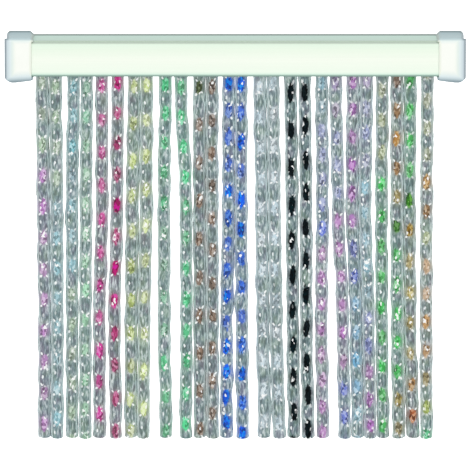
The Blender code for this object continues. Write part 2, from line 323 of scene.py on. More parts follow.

# Tones of the end caps by the distance from each edge: how many millimetres they reach, then the
# tones, each after its place. All are painted shade: pale blue and then grey where the edges round
# off, darker along the bottom, the inner edge, the back, the outer corner and the slope up to the
# rail, with the tops greyer than the fronts
CAP_TONES = {
    "outer": (12, (
        (0.0, (138, 152, 160)), (0.13, (161, 173, 182)), (0.22, (203, 217, 224)),
        (0.47, (226, 238, 241)), (0.65, (231, 242, 237)), (0.85, (247, 251, 244)),
        (1.0, (252, 254, 248)))),
    "inner": (4, ((0.0, (236, 241, 229)), (0.35, (241, 246, 234)), (0.8, (252, 254, 248)))),
    "low": (14, (
        (0.0, (140, 158, 166)), (0.1, (158, 176, 184)), (0.2, (193, 209, 215)),
        (0.38, (224, 237, 240)), (0.6, (240, 247, 243)), (0.85, (252, 254, 248)))),
    "high": (8, ((0.0, (206, 220, 220)), (0.25, (232, 243, 240)), (0.7, (252, 254, 248)))),
    "back": (20, (
        (0.0, (128, 144, 147)), (0.2, (136, 154, 157)), (0.33, (158, 178, 183)),
        (0.45, (182, 203, 209)), (0.9, (196, 214, 218)))),
    "end": (8, (
        (0.0, (120, 136, 142)), (0.15, (142, 158, 164)), (0.35, (192, 208, 214)),
        (0.6, (252, 254, 250)))),
    "inner_slope": (4.4, ((0.0, (158, 174, 168)), (0.5, (172, 188, 184)), (1.0, (206, 224, 227)))),
}
# The flat end faces, painted pale blue-white with a little shade
CAP_END_TONE = (228, 239, 243)
CAP_END_FACING = (0.985, 0.998)
CAP_TOP_FACING = (0.45, 0.8)
CAP_CLOUD_SCALE = 60
CAP_CLOUD_SHARE = 0.04
CAP_GRAIN_SCALE = 2200

# Tape: its greys, each after its place, and how much its knots' foil tints it
BODY_TONES = (
    (0.34, (139, 146, 159)), (0.45, (125, 146, 153)), (0.55, (127, 151, 151)),
    (0.68, (147, 170, 160)))
BODY_TINT = 0.07
PATCH_STRETCH = (1, 1, 0.6)
PATCH_SCALE = 120
HALO_SHARE = 0.47
HALO_GREY = 0.8
HALO_GREY_SHARE = 0.2

# Streaks along the tape: how they lie, and the spans that are dark, that take a painted highlight
# and, at the sides, that take painted light, as if light came through the clear edges
LAY_SCALE = 0.01
STRAND_LAY_STEP = 8.0
STREAK_STRETCH = (1.5, 1.25, 5.7)
STREAK_ROUGHNESS = 0.55
DARK_STREAK = 0.52
DARK_STREAKS = (0.36, 0.54)
HIGHLIGHT_STREAKS = (0.53, 0.68)
HIGHLIGHT_SHARE = 0.72
HIGHLIGHT_TONE = (226, 236, 236)
RIM_SPAN = (0.6, 1.0)
RIM_SHARE = 0.2
SIDE_FACING = (0.62, 0.9)
SIDE_LIGHT_STREAKS = (0.36, 0.56)
SIDE_LIGHT_SHARES = (0.66, 0.95)
SIDE_LIGHT_TONE = (236, 250, 250)
SHEEN_TONE = (225, 250, 250)
WANDER_SCALE = 330

# How much the tape shines, and how much where it covers black foil
TAPE_SHINE = 0.2
TAPE_SHINE_OVER_BLACK = 0.04

# Facets of the foil seen through the tape: their greys, which are painted shade on the crumpled
# foil, and the spans that take a painted glint and a painted white highlight
FACET_STRETCH = (1, 1, 0.62)
FACET_SCALE = 540
FACET_SHADES = ((0.0, 0.3), (0.15, 0.62), (0.36, 1.0))
FACET_EVENING = 0.4
GLINT_GAMMA = 0.5
GLINT_FACETS = (0.62, 0.68)
GLINT_BRIGHTNESS = (-0.01, 0.19)
HIGHLIGHT_FACETS = (0.92, 0.94)
FACET_SHARE = 0.9

# Core and foil
CORE_STRETCH = (700, 700, 120)
CORE_TONES = ((0.3, (116, 136, 138)), (0.5, (146, 168, 172)), (0.7, (206, 222, 222)))
# Fine creases of the foil, painted darker in their hollows as shade
CREASE_SCALE = 900
CREASE_SHARE = 0.35
FOIL_METAL = 0.6

# The photograph: its scale, camera and middle
PHOTO_WIDTH = 0.470
CAMERA_TILT = math.radians(20)
CAMERA_LENS = 1500
CAMERA_SENSOR = 36
CAMERA_RANGE = (0.1, 200)
CAMERA_AIM = Vector((-0.2 * MM, -26 * MM, -186.1 * MM))

# The studio: its floor, the tints of its soft light, and each lamp's name, place and power
FLOOR_HEIGHT = -0.52
FLOOR_SIZE = 60
FLOOR_GREY = 0.9
LIGHT_AROUND = 0.62
LIGHT_IN_FRONT = (1.0, 1.0, 0.98, 1)
LIGHT_ABOVE = (0.17, 0.21, 0.21, 1)
LAMP_SIZE = 0.3
LAMPS = (
    ("front_left", (-0.9, -1.6, 0.5), 4),
    ("front_right", (1.0, -1.5, 0.2), 3),
)


def linear(shown):
    """A colour as it shows, out of 255, as linear light."""
    parts = [value / 255 for value in shown]
    return tuple(p / 12.92 if p <= 0.04045 else ((p + 0.055) / 1.055) ** 2.4 for p in parts)


def rgba(shown):
    return (*linear(shown), 1)


def grey(value):
    return (value, value, value, 1)


def clear_selection():
    if bpy.context.mode != "OBJECT":
        bpy.ops.object.mode_set(mode="OBJECT")
    bpy.ops.object.select_all(action="DESELECT")


def select_only(piece):
    clear_selection()
    piece.select_set(True)
    bpy.context.view_layer.objects.active = piece


def place_in_mesh(piece):
    select_only(piece)
    bpy.ops.object.transform_apply(location=True, rotation=True, scale=True)


def pick(mesh, kind, wanted):
    """Select, from object mode, only the vertices, edges or faces that the test wants."""
    for group in (mesh.vertices, mesh.edges, mesh.polygons):
        group.foreach_set("select", [False] * len(group))
    group = {"VERT": mesh.vertices, "EDGE": mesh.edges, "FACE": mesh.polygons}[kind]
    for item in group:
        item.select = wanted(item)


def select_parts(piece, kind, wanted):
    """In edit mode, select the parts of one kind that the test wants."""
    bpy.ops.object.mode_set(mode="EDIT")
    bpy.ops.mesh.select_mode(type=kind)
    bpy.ops.mesh.select_all(action="DESELECT")
    bpy.ops.object.mode_set(mode="OBJECT")
    pick(piece.data, kind, wanted)
    bpy.ops.object.mode_set(mode="EDIT")


# Materials

def add_node(tree, kind, inputs=None, **settings):
    made = tree.nodes.new(kind)
    for setting, value in settings.items():
        setattr(made, setting, value)
    for socket, value in (inputs or {}).items():
        if isinstance(value, bpy.types.NodeSocket):
            tree.links.new(value, made.inputs[socket])
        else:
            made.inputs[socket].default_value = value
    return made


def new_material(name):
    material = bpy.data.materials.new(name)
    material.use_nodes = True
    return material, material.node_tree, material.node_tree.nodes["Principled BSDF"]


def ramp(tree, value, stops, interpolation="LINEAR"):
    """A colour ramp of (place, colour) stops."""
    made = add_node(tree, "ShaderNodeValToRGB", {"Fac": value})
    made.color_ramp.interpolation = interpolation
    points = made.color_ramp.elements
    while len(points) < len(stops):
        points.new(0.5)
    for point, (place, colour) in zip(points, stops):
        point.position = place
        point.color = colour
    return made.outputs["Color"]


def tone_ramp(tree, value, tones):
    """A colour ramp of places, each with its colour as it shows."""
    return ramp(tree, value, [(place, rgba(shown)) for place, shown in tones])


def grey_ramp(tree, value, shades, interpolation="LINEAR"):
    """A colour ramp of places, each with its grey."""
    return ramp(tree, value, [(place, grey(shade)) for place, shade in shades], interpolation)


def math_node(tree, operation, first, second=0.0, clamp=False):
    made = add_node(tree, "ShaderNodeMath", {0: first, 1: second}, operation=operation)
    made.use_clamp = clamp
    return made.outputs["Value"]


def plus(tree, first, second):
    return math_node(tree, "ADD", first, second)


def minus(tree, first, second):
    return math_node(tree, "SUBTRACT", first, second)


def times(tree, first, second):
    return math_node(tree, "MULTIPLY", first, second)


def divided(tree, first, second):
    return math_node(tree, "DIVIDE", first, second)


def unsigned(tree, value):
    return math_node(tree, "ABSOLUTE", value)


def span(tree, value, low, high, least=0.0, most=1.0):
    """The least below low, the most above high, and even between."""
    made = add_node(tree, "ShaderNodeMapRange", {
        "Value": value, "From Min": low, "From Max": high, "To Min": least, "To Max": most})
    return made.outputs["Result"]


def parts_of(tree, vector):
    """The X, Y and Z of a vector."""
    return add_node(tree, "ShaderNodeSeparateXYZ", {"Vector": vector}).outputs


def mix_colour(tree, factor, first, second, blend="MIX"):
    made = add_node(tree, "ShaderNodeMix", data_type="RGBA", blend_type=blend)
    colours = [socket for socket in made.inputs if socket.type == "RGBA"]
    for socket, value in ((made.inputs[0], factor), (colours[0], first), (colours[1], second)):
        if isinstance(value, bpy.types.NodeSocket):
            tree.links.new(value, socket)
        else:
            socket.default_value = value
    return next(socket for socket in made.outputs if socket.type == "RGBA")


def darkest(tree, colour, *others):
    for other in others:
        colour = mix_colour(tree, 1.0, colour, other, "DARKEN")
    return colour


def shaded(tree, share, colour, value, shades):
    """The colour, darkened by a share of the grey that the value picks."""
    return mix_colour(tree, share, colour, grey_ramp(tree, value, shades), "MULTIPLY")


def noise(tree, vector, scale, detail, roughness=0.5):
    made = add_node(tree, "ShaderNodeTexNoise",
                    {"Vector": vector, "Scale": scale, "Detail": detail, "Roughness": roughness})
    return made.outputs["Fac"]


def stretched(tree, vector, scale):
    made = add_node(tree, "ShaderNodeMapping", {"Vector": vector, "Scale": scale})
    return made.outputs["Vector"]


def place_on(tree):
    return add_node(tree, "ShaderNodeTexCoord").outputs["Object"]


def facing(tree):
    """The X, Y and Z of the way the surface faces."""
    return parts_of(tree, add_node(tree, "ShaderNodeNewGeometry").outputs["Normal"])


def attribute(tree, name):
    return add_node(tree, "ShaderNodeAttribute", attribute_name=name).outputs


def finish_surface(tree, shader, colour, texture, roughness, relief):
    """Give a surface its colour, and the roughness and relief that one texture sets."""
    bump = add_node(tree, "ShaderNodeBump", {
        "Height": texture, "Distance": relief, "Strength": BUMP_STRENGTH})
    tree.links.new(colour, shader.inputs["Base Color"])
    tree.links.new(span(tree, texture, *roughness), shader.inputs["Roughness"])
    tree.links.new(bump.outputs["Normal"], shader.inputs["Normal"])


def rail_plastic():
    """Ivory extruded plastic with faint draw lines along the rail, its top and edges painted greyer
    as shade.
    """
    material, tree, shader = new_material("rail_plastic")
    place = place_on(tree)
    axes = parts_of(tree, place)
    height = divided(tree, minus(tree, axes["Z"], RAIL_BOTTOM), RAIL_TOP - RAIL_BOTTOM)
    face = tone_ramp(tree, height, RAIL_FACE_TONES)
    top = tone_ramp(tree, divided(tree, axes["Y"], RAIL_FRONT), RAIL_TOP_TONES)
    # Surfaces that face up take the top's tones, painted greyer than the face as shade
    colour = mix_colour(tree, span(tree, facing(tree)["Z"], *RAIL_TOP_FACING), face, top)
    lines = noise(tree, stretched(tree, place, DRAW_LINE_STRETCH), 1.0, 3)
    colour = shaded(tree, DRAW_LINE_SHARE, colour, lines, FAINT_SHADES)
    finish_surface(tree, shader, colour, lines, (-1.2, 2.6), 0.05 * MM)
    return material


def cap_plastic():
    """White moulded plastic, fine-grained, with painted shade: pale blue and then grey where its
    edges round off, and greyer on top.
    """
    material, tree, shader = new_material("cap_plastic")
    place = place_on(tree)
    axes = parts_of(tree, place)
    across = divided(tree, unsigned(tree, axes["X"]), MM)
    height = divided(tree, axes["Z"], MM)
    depth = divided(tree, axes["Y"], MM)
    past_inner = minus(tree, across, CAP_INNER)
    above_low = plus(tree, minus(tree, height, CAP_LOW_INNER), times(tree, past_inner, CAP_SLOPE))
    faces = facing(tree)

    def tone(part, distance):
        reach, tones = CAP_TONES[part]
        return tone_ramp(tree, span(tree, distance, 0, reach), tones)

    # These tones are painted shade where the surface rounds or turns away from the light
    beside = darkest(tree, tone("outer", minus(tree, CAP_OUTER, across)), tone("inner", past_inner))
    end_face = span(tree, unsigned(tree, faces["X"]), *CAP_END_FACING)
    beside = mix_colour(tree, end_face, beside, rgba(CAP_END_TONE))
    below_top = minus(tree, CAP_TOP, height)
    front = darkest(tree, beside, tone("low", above_low), tone("high", below_top))
    top = darkest(tree, tone("back", minus(tree, -CAP_BACK_GAP, depth)),
                  tone("end", minus(tree, CAP_OUTER - CAP_BODY_STEP, across)),
                  tone("inner_slope", minus(tree, across, CAP_INNER - CAP_INNER_SLOPE_REACH)))
    colour = mix_colour(tree, span(tree, faces["Z"], *CAP_TOP_FACING), front, top)
    clouds = noise(tree, place, CAP_CLOUD_SCALE, 2)
    colour = shaded(tree, CAP_CLOUD_SHARE, colour, clouds, FAINT_SHADES)
    grain = noise(tree, place, CAP_GRAIN_SCALE, 3)
    finish_surface(tree, shader, colour, grain, (-1.0, 2.4), 0.03 * MM)
    return material


def oval(tree, across, along, size):
    """1 in the middle of an oval, 0 at its edge and negative outside."""
    parts = [math_node(tree, "POWER", divided(tree, value, half), 2.0)
             for value, half in zip((across, along), size)]
    return minus(tree, 1.0, plus(tree, *parts))


def streaked_tape(tree, place, lay, tint, streaks):
    """The tape's greys, with dark streaks, painted highlight streaks, dark rims and painted light
    on its sides.
    """
    patches = noise(tree, stretched(tree, place, PATCH_STRETCH), PATCH_SCALE, 2)
    body = mix_colour(tree, BODY_TINT, tone_ramp(tree, patches, BODY_TONES), tint["Color"])
    dark = mix_colour(tree, 1.0, body, grey(DARK_STREAK), "MULTIPLY")
    colour = mix_colour(tree, span(tree, streaks, *DARK_STREAKS), dark, body)
    # Painted highlights along the bright streaks
    streak_highlight = times(tree, span(tree, streaks, *HIGHLIGHT_STREAKS), HIGHLIGHT_SHARE)
    colour = mix_colour(tree, streak_highlight, colour, rgba(HIGHLIGHT_TONE))
    rim = span(tree, unsigned(tree, parts_of(tree, lay)["X"]), *RIM_SPAN)
    colour = mix_colour(tree, times(tree, rim, RIM_SHARE), colour, dark)
    # Painted light where the tape faces sideways, as if light came through its clear edges
    side = span(tree, unsigned(tree, facing(tree)["X"]), *SIDE_FACING)
    side_light = span(tree, streaks, *SIDE_LIGHT_STREAKS, *SIDE_LIGHT_SHARES)
    colour = mix_colour(tree, times(tree, side, side_light), colour, rgba(SIDE_LIGHT_TONE))
    halo = mix_colour(tree, HALO_GREY_SHARE, tint["Color"], grey(HALO_GREY))
    return mix_colour(tree, times(tree, tint["Alpha"], HALO_SHARE), colour, halo)


def faceted_foil(tree, place, tint):
    """Foil as it shows through the tape: facets of its colour with painted shade, painted glints
    and painted white highlights.
    """
    cells = add_node(tree, "ShaderNodeTexVoronoi", {
        "Vector": stretched(tree, place, FACET_STRETCH), "Scale": FACET_SCALE}).outputs
    facet = add_node(tree, "ShaderNodeSeparateColor", {"Color": cells["Color"]}).outputs["Red"]
    bright = add_node(tree, "ShaderNodeRGBToBW", {"Color": tint["Color"]}).outputs["Val"]
    # Painted shade on the darker facets
    shades = grey_ramp(tree, facet, FACET_SHADES, "CONSTANT")
    shades = mix_colour(tree, times(tree, bright, FACET_EVENING), shades, grey(1.0))
    foil = mix_colour(tree, 1.0, tint["Color"], shades, "MULTIPLY")
    # Painted glints and white highlights on some facets
    glint = add_node(tree, "ShaderNodeGamma", {"Color": tint["Color"], "Gamma": GLINT_GAMMA})
    lit = times(tree, span(tree, facet, *GLINT_FACETS), span(tree, bright, *GLINT_BRIGHTNESS))
    foil = mix_colour(tree, times(tree, lit, FACET_SHARE), foil, glint.outputs["Color"])
    white = times(tree, span(tree, facet, *HIGHLIGHT_FACETS), FACET_SHARE)
    return mix_colour(tree, white, foil, grey(1.0))


def braided_pvc(name, shine):
    """Clear PVC tape that reads grey: streaked, showing the foil beneath, with painted white
    highlights by and between its knots.
    """
    material, tree, shader = new_material(name)
    place = place_on(tree)
    lay = attribute(tree, "lay")["Vector"]
    tint = attribute(tree, "tint")
    near = parts_of(tree, attribute(tree, "near")["Vector"])
    link = parts_of(tree, attribute(tree, "link")["Vector"])
    off_middle = unsigned(tree, near["X"])
    wander = times(tree, minus(tree, noise(tree, place, WANDER_SCALE, 1), 0.5), 2.0)
    streaks = noise(tree, stretched(tree, lay, STREAK_STRETCH), 1.0, 2, STREAK_ROUGHNESS)
    colour = streaked_tape(tree, place, lay, tint, streaks)

    seen = oval(tree, plus(tree, off_middle, wander),
                plus(tree, near["Y"], times(tree, wander, SEEN_WANDER)), SEEN_FOIL)
    foil = faceted_foil(tree, place, tint)
    colour = mix_colour(tree, span(tree, seen, *SEEN_EDGE), colour, foil)

    # Painted highlights above and below each knot
    high = minus(tree, near["Y"], KNOT_HIGHLIGHT_PLACE[1])
    aside = minus(tree, minus(tree, off_middle, KNOT_HIGHLIGHT_PLACE[0]), times(tree, high, KNOT_HIGHLIGHT_LEAN))
    knot_highlight = oval(tree, plus(tree, aside, times(tree, wander, KNOT_HIGHLIGHT_WANDER)), high, KNOT_HIGHLIGHT_SIZE)
    knot_highlight = times(tree, span(tree, knot_highlight, *KNOT_HIGHLIGHT_EDGE), near["Z"])
    colour = mix_colour(tree, knot_highlight, colour, rgba(KNOT_HIGHLIGHT_TONE))
    # Painted highlights halfway between knots
    link_highlight = oval(tree, plus(tree, link["X"], wander), link["Y"], LINK_HIGHLIGHT_SIZE)
    link_highlight = times(tree, span(tree, link_highlight, *LINK_HIGHLIGHT_EDGE), link["Z"])
    colour = mix_colour(tree, link_highlight, colour, rgba(LINK_HIGHLIGHT_TONE))

    finish_surface(tree, shader, colour, streaks, (-0.4, 3.2), 0.12 * MM)
    for setting, value in (
            ("IOR", 1.53), ("Specular IOR Level", shine), ("Coat Weight", shine * 0.75),
            ("Coat Roughness", 0.12), ("Sheen Weight", shine), ("Sheen Roughness", 0.35),
            ("Sheen Tint", rgba(SHEEN_TONE))):
        shader.inputs[setting].default_value = value
    return material


def clear_core():
    """The soft clear core inside the braid, lighter than the tapes."""
    material, tree, shader = new_material("clear_core")
    streaks = noise(tree, stretched(tree, place_on(tree), CORE_STRETCH), 1.0, 2)
    colour = tone_ramp(tree, streaks, CORE_TONES)
    finish_surface(tree, shader, colour, streaks, (-0.4, 3.0), 0.2 * MM)
    return material


def crumpled_foil():
    """Shiny coloured foil, its colour held in each face with painted shade and highlights, and fine
    creases painted darker as shade.
    """
    material, tree, shader = new_material("crumpled_foil")
    creases = noise(tree, place_on(tree), CREASE_SCALE, 3, 0.6)
    # Painted shade in the creases
    colour = shaded(tree, CREASE_SHARE, attribute(tree, "foil")["Color"], creases, CREASE_SHADES)
    finish_surface(tree, shader, colour, creases, (-0.6, 2.2), 0.3 * MM)
    shader.inputs["Metallic"].default_value = FOIL_METAL
    return material


# One straight pitch of tape and of core, and a few foil knots, modelled once and then copied

def vertices_of(piece):
    flat = np.zeros(len(piece.data.vertices) * 3)
    piece.data.vertices.foreach_get("co", flat)
    return flat.reshape(-1, 3)


def faces_of(piece):
    return [tuple(face.vertices) for face in piece.data.polygons]


def take_shape(piece):
    """The piece's points and faces, after which the piece itself is removed."""
    clear_selection()
    shape = (vertices_of(piece), faces_of(piece))
    bpy.data.objects.remove(piece, do_unlink=True)
    return shape


def repeat_upward(piece, step):
    """Extrude the piece's top face step by step up to the full pitch, and open both its ends."""
    select_parts(piece, "FACE", lambda face: face.normal.z > ALONG)
    for _ in range(TAPE_STEPS - 1):
        bpy.ops.mesh.extrude_region_move(TRANSFORM_OT_translate={"value": (0, 0, step)})
    select_parts(piece, "FACE", lambda face: abs(face.normal.z) > ALONG)
    bpy.ops.mesh.delete(type="FACE")


def model_tape():
    """A flat tape with eased outer edges: X across, outer side at -Y, and Z from 0 to 1."""
    clear_selection()
    step = 1 / TAPE_STEPS
    bpy.ops.mesh.primitive_cube_add(size=1, location=(0, 0, step / 2),
                                    scale=(TAPE_WIDTH, TAPE_THICKNESS, step))
    tape = bpy.context.object
    place_in_mesh(tape)
    corners = tape.data.vertices
    half = TAPE_THICKNESS / 2

    def outer_long_edge(edge):
        ends = [corners[index].co for index in edge.vertices]
        return abs(ends[0].z - ends[1].z) > step / 2 and all(end.y < 0 for end in ends)

    select_parts(tape, "EDGE", outer_long_edge)
    bpy.ops.mesh.bevel(offset=TAPE_SHOULDER, segments=1, affect="EDGES")
    select_parts(tape, "VERT", lambda corner: corner.co.y < TAPE_SHOULDER / 2 - half)
    bpy.ops.transform.resize(value=(TAPE_OUTER_SHARE, 1, 1), center_override=(0, 0, 0))
    repeat_upward(tape, step)
    return take_shape(tape)


def model_core():
    """An open tube of radius 1 with its rings spaced along Z from 0 to 1."""
    clear_selection()
    step = 1 / TAPE_STEPS
    bpy.ops.mesh.primitive_cylinder_add(vertices=CORE_SIDES, radius=1, depth=step,
                                        end_fill_type="NGON", location=(0, 0, step / 2))
    core = bpy.context.object
    place_in_mesh(core)
    repeat_upward(core, step)
    return take_shape(core)


def model_foil(seed):
    """One crumpled almond of foil, with Z along the strand."""
    clear_selection()
    bpy.ops.mesh.primitive_uv_sphere_add(segments=FOIL_SIDES, ring_count=FOIL_RINGS, radius=1)
    foil = bpy.context.object
    bpy.ops.object.mode_set(mode="EDIT")
    bpy.ops.mesh.select_all(action="SELECT")
    bpy.ops.transform.rotate(value=math.radians(FOIL_SHAPE_TURN * seed), orient_axis="Z",
                             center_override=(0, 0, 0))
    bpy.ops.transform.resize(value=(*FOIL_REACH, FOIL_HALF_LENGTH), center_override=(0, 0, 0))
    bpy.ops.transform.vertex_random(offset=FOIL_CRUMPLE, uniform=FOIL_EVENNESS, normal=0.0,
                                    seed=seed)
    return take_shape(foil)


# The run of the strands

def ease(share):
    return share * share * (3 - 2 * share)


def strand_across(row, drop):
    """A strand's places across the rail at drops below the rail's bottom edge, in metres."""
    places = (row.at_rail, row.upper, row.lower, row.at_end)
    across = np.full_like(drop, places[0])
    for index in range(len(PLACE_DROPS) - 1):
        low, high = PLACE_DROPS[index], PLACE_DROPS[index + 1]
        share = ease(np.clip((drop - low) / (high - low), 0, 1))
        across += (places[index + 1] - places[index]) * share
    return across * MM


def strand_middle(index, row, drop):
    """The strand's middle line: its places across and away at each drop, in metres."""
    turn = 2 * math.pi * drop / SWAY_WAVE + SWAY_START * index
    hang = ease(np.clip(drop / STAGGER_DROP, 0, 1))
    forward = -STAGGER if index % 2 else STAGGER
    across = strand_across(row, drop) + SWAY * np.sin(turn) * hang
    away = RAIL_MIDDLE + (forward + SWAY * np.cos(turn)) * hang
    across += WOBBLE * np.sin(2 * math.pi * drop / WOBBLE_WAVE + WOBBLE_START * index) * hang
    return across, away


def pressed(index, drop, offset, half):
    """A strand's sideways offsets, pushed out or in to meet a strand close beside it."""
    near, far = PRESS_DISTANCE
    own = strand_middle(index, STRANDS[index], drop)[0]
    for other, side in ((index - 1, -1), (index + 1, 1)):
        if 0 <= other < len(STRANDS):
            apart = np.abs(strand_middle(other, STRANDS[other], drop)[0] - own) / MM
            if min(index, other) in TOUCHING:
                scale = np.clip(apart / 2 / half, *PRESS_SCALES)
            else:
                scale = np.clip((apart - CLOSE_GAP) / 2 / half, PRESS_SCALES[0], 1)
            close = np.clip((far - apart) / (far - near), 0, 1)
            share = np.clip(side * offset / half, 0, 1) ** 2
            offset = offset * (1 + (scale - 1) * close * share)
    return offset


def swell_at(index, phase):
    """How much fatter or thinner than usual the strand is there."""
    return 1 + SWELL * sum(strength * np.sin(turn * phase + start * index)
                           for turn, start, strength in SWELL_WAVES)


def drop_of(row, pitches):
    """The drop of a place that many knots below the first knot."""
    even = (row.first_knot + pitches * row.spacing) * MM
    return even + row.slack * MM * np.sin(math.pi * np.clip(even / STRAND_LENGTH, 0, 1))


def along_pitch(phase, sizes):
    """A size that eases from knot to pinch to plain link and back, over each pitch."""
    off_knot = np.minimum(phase % 1, 1 - phase % 1)
    near_knot = off_knot < PINCH_PLACE
    past = np.where(near_knot, off_knot, off_knot - PINCH_PLACE)
    share = ease(np.clip(past / PINCH_PLACE, 0, 1))
    return np.where(near_knot, sizes["knot"] + (sizes["pinch"] - sizes["knot"]) * share,
                    sizes["pinch"] + (sizes["link"] - sizes["pinch"]) * share)


def crossing_wave(phase, pair):
    """-1 to 1, and 0 where a pair's tapes cross: at knots in front, between them at the sides."""
    return np.cos(math.pi * phase) if pair % 2 else np.sin(math.pi * phase)


def spread_at(phase, pair):
    """How many degrees a tape lies to one side of its pair's middle."""
    wave = crossing_wave(phase, pair)
    spread = SIDE_SPREAD if pair % 2 else FRONT_SPREAD
    return spread * np.sign(wave) * np.abs(wave) ** SPREAD_POWER


def colours_of(index):
    """The foil colour of each knot down a strand, no two quite alike."""
    chance = np.random.default_rng(index)
    colours = []
    for count, name in FOIL_RUNS[index]:
        for _ in range(count):
            colour = np.array(linear(FOIL_COLOURS[name])) * chance.uniform(*FOIL_BRIGHTNESS)
            middle = colour.mean()
            vivid = middle + (colour - middle) * chance.uniform(*FOIL_VIVIDNESS)
            colours.append(np.clip(vivid, 0, 1))
    return colours


def first_colour(index):
    return FOIL_RUNS[index][0][1]


def first_pitch(row):
    return -math.ceil((row.first_knot + ROOT_ALLOWANCE) / row.spacing)


def last_pitch(row):
    return math.ceil((STRAND_LENGTH / MM - row.first_knot) / row.spacing)


def braid_tape(index, row, shape, pair, hand, chance):
    """The points of one tape down a whole strand, with what its material reads at each."""
    points, faces = shape
    all_points, all_faces, lay, near, link, phases = [], [], [], [], [], []
    knot_highlights, shrinks = {}, {}
    step_phase = 0.25 / TAPE_STEPS
    narrowing = SIDE_NARROWING if pair % 2 else 1
    sideways_count, along_count = KNOT_STRETCH.get(first_colour(index), (1, 1))
    for pitch in range(first_pitch(row), last_pitch(row) + 1):
        phase = pitch + points[:, 2]
        turn = hand * spread_at(phase, pair)
        slope = hand * (spread_at(phase + step_phase, pair) - spread_at(phase - step_phase, pair))
        reach = along_pitch(phase, TAPE_REACH) * swell_at(index, phase)
        drop = drop_of(row, phase)
        rise = (drop_of(row, phase + step_phase) - drop_of(row, phase - step_phase)) / MM
        sideways = np.radians(slope) * reach
        length = np.hypot(sideways, rise)
        side_share, rise_share = rise / length, -sideways / length
        crossed = 1 - crossing_wave(phase, pair) ** 2
        number = np.round(phase + (0.5 if pair % 2 else 0)).astype(int)
        over = np.where((number + (hand > 0)) % 2 == 0, 1, -1) * crossed
        lift = LAYER_LIFT * (over + (1 - crossed) * (-1 if pair % 2 else 1))
        height = reach - points[:, 1] + lift
        angle = np.radians(PAIR_TURNS[pair] + turn) + points[:, 0] * side_share / reach
        drop = drop + points[:, 0] * rise_share * MM
        across, away = strand_middle(index, row, drop)
        all_faces.append(np.array(faces) + len(points) * len(all_points))
        side_crossed = np.sin(math.pi * phase) ** 2
        half = reach + (LAYER_LIFT + TAPE_THICKNESS / 2) * side_crossed - PRESS_OVERLAP
        offset = pressed(index, drop, height * np.sin(angle), half)
        all_points.append(np.column_stack((
            across + offset * MM, away - height * np.cos(angle) * MM, RAIL_BOTTOM - drop)))
        lay_number = index * STRAND_LAY_STEP + pair * 2 + hand
        lay.append(np.column_stack((
            points[:, 0] * 2 / TAPE_WIDTH, drop / LAY_SCALE, np.full(len(points), lay_number))))
        for side in (2 * pitch, 2 * pitch + 1, 2 * pitch + 2):
            knot_highlights.setdefault(side, 0 if pair % 2 else chance.choice(KNOT_HIGHLIGHT_STRENGTHS))
            shrinks.setdefault(side, chance.uniform(*KNOT_SHRINK))
        side = np.floor(phase * 2).astype(int)
        strength = np.array([knot_highlights[number] for number in side])
        off_middle = (np.radians(turn) + points[:, 0] * side_share / reach) * reach
        down = drop_of(row, phase) / MM + points[:, 0] * rise_share
        off_knot = np.abs(down - drop_of(row, np.round(phase)) / MM)
        off_knot = off_knot * np.array([shrinks[number] for number in side])
        near.append(np.column_stack((
            off_middle * narrowing * sideways_count, off_knot * along_count, strength)))
        link_highlight = 0 if pair % 2 else chance.choice(LINK_HIGHLIGHT_STRENGTHS)
        off_link = np.abs(down - drop_of(row, pitch + 0.5) / MM)
        link.append(np.column_stack((
            off_middle - chance.uniform(*LINK_HIGHLIGHT_PLACES), off_link, np.full(len(points), link_highlight))))
        phases.append(phase)
    return [np.concatenate(part) for part in (all_points, all_faces, lay, near, link, phases)]


def core_points(index, row, shape):
    """The points of the core down a whole strand."""
    points, faces = shape
    all_points, all_faces, phases = [], [], []
    for pitch in range(first_pitch(row), last_pitch(row) + 1):
        phase = pitch + points[:, 2]
        drop = drop_of(row, phase)
        reach = along_pitch(phase, CORE_REACH) * swell_at(index, phase) * MM
        across, away = strand_middle(index, row, drop)
        all_faces.append(np.array(faces) + len(points) * len(all_points))
        all_points.append(np.column_stack((
            across + points[:, 0] * reach, away + points[:, 1] * reach, RAIL_BOTTOM - drop)))
        phases.append(phase)
    return [np.concatenate(part) for part in (all_points, all_faces, phases)]


def tint_at(row, phases, colours):
    """The nearest knot's foil colour, and how close the knot is."""
    knot = np.clip(np.round(phases).astype(int), 0, len(colours) - 1)
    near = np.exp(-((phases - np.round(phases)) * row.spacing / TINT_REACH) ** 2)
    return np.column_stack((np.array(colours)[knot], near))


def add_mesh(name, points, faces):
    mesh = bpy.data.meshes.new(name)
    mesh.from_pydata([tuple(point) for point in points], [], [tuple(face) for face in faces])
    piece = bpy.data.objects.new(name, mesh)
    bpy.context.scene.collection.objects.link(piece)
    return piece


def set_attribute(mesh, name, kind, domain, values):
    made = mesh.attributes.new(name, kind, domain)
    field = {"FLOAT_VECTOR": "vector", "FLOAT_COLOR": "color"}[kind]
    made.data.foreach_set(field, np.ascontiguousarray(values, np.float32).ravel())


def weld_and_cut(piece, top, bottom):
    """Weld the pitches together, and cut the piece level at its root and at its end."""
    select_only(piece)
    bpy.ops.object.mode_set(mode="EDIT")
    bpy.ops.mesh.select_all(action="SELECT")
    bpy.ops.mesh.remove_doubles(threshold=WELD_REACH)
    for height, above in ((top, True), (bottom, False)):
        bpy.ops.mesh.select_all(action="SELECT")
        bpy.ops.mesh.bisect(plane_co=(0, 0, height), plane_no=(0, 0, 1), use_fill=True,
                            clear_outer=above, clear_inner=not above)
    bpy.ops.mesh.select_all(action="SELECT")
    bpy.ops.mesh.normals_make_consistent(inside=False)
    bpy.ops.object.mode_set(mode="OBJECT")


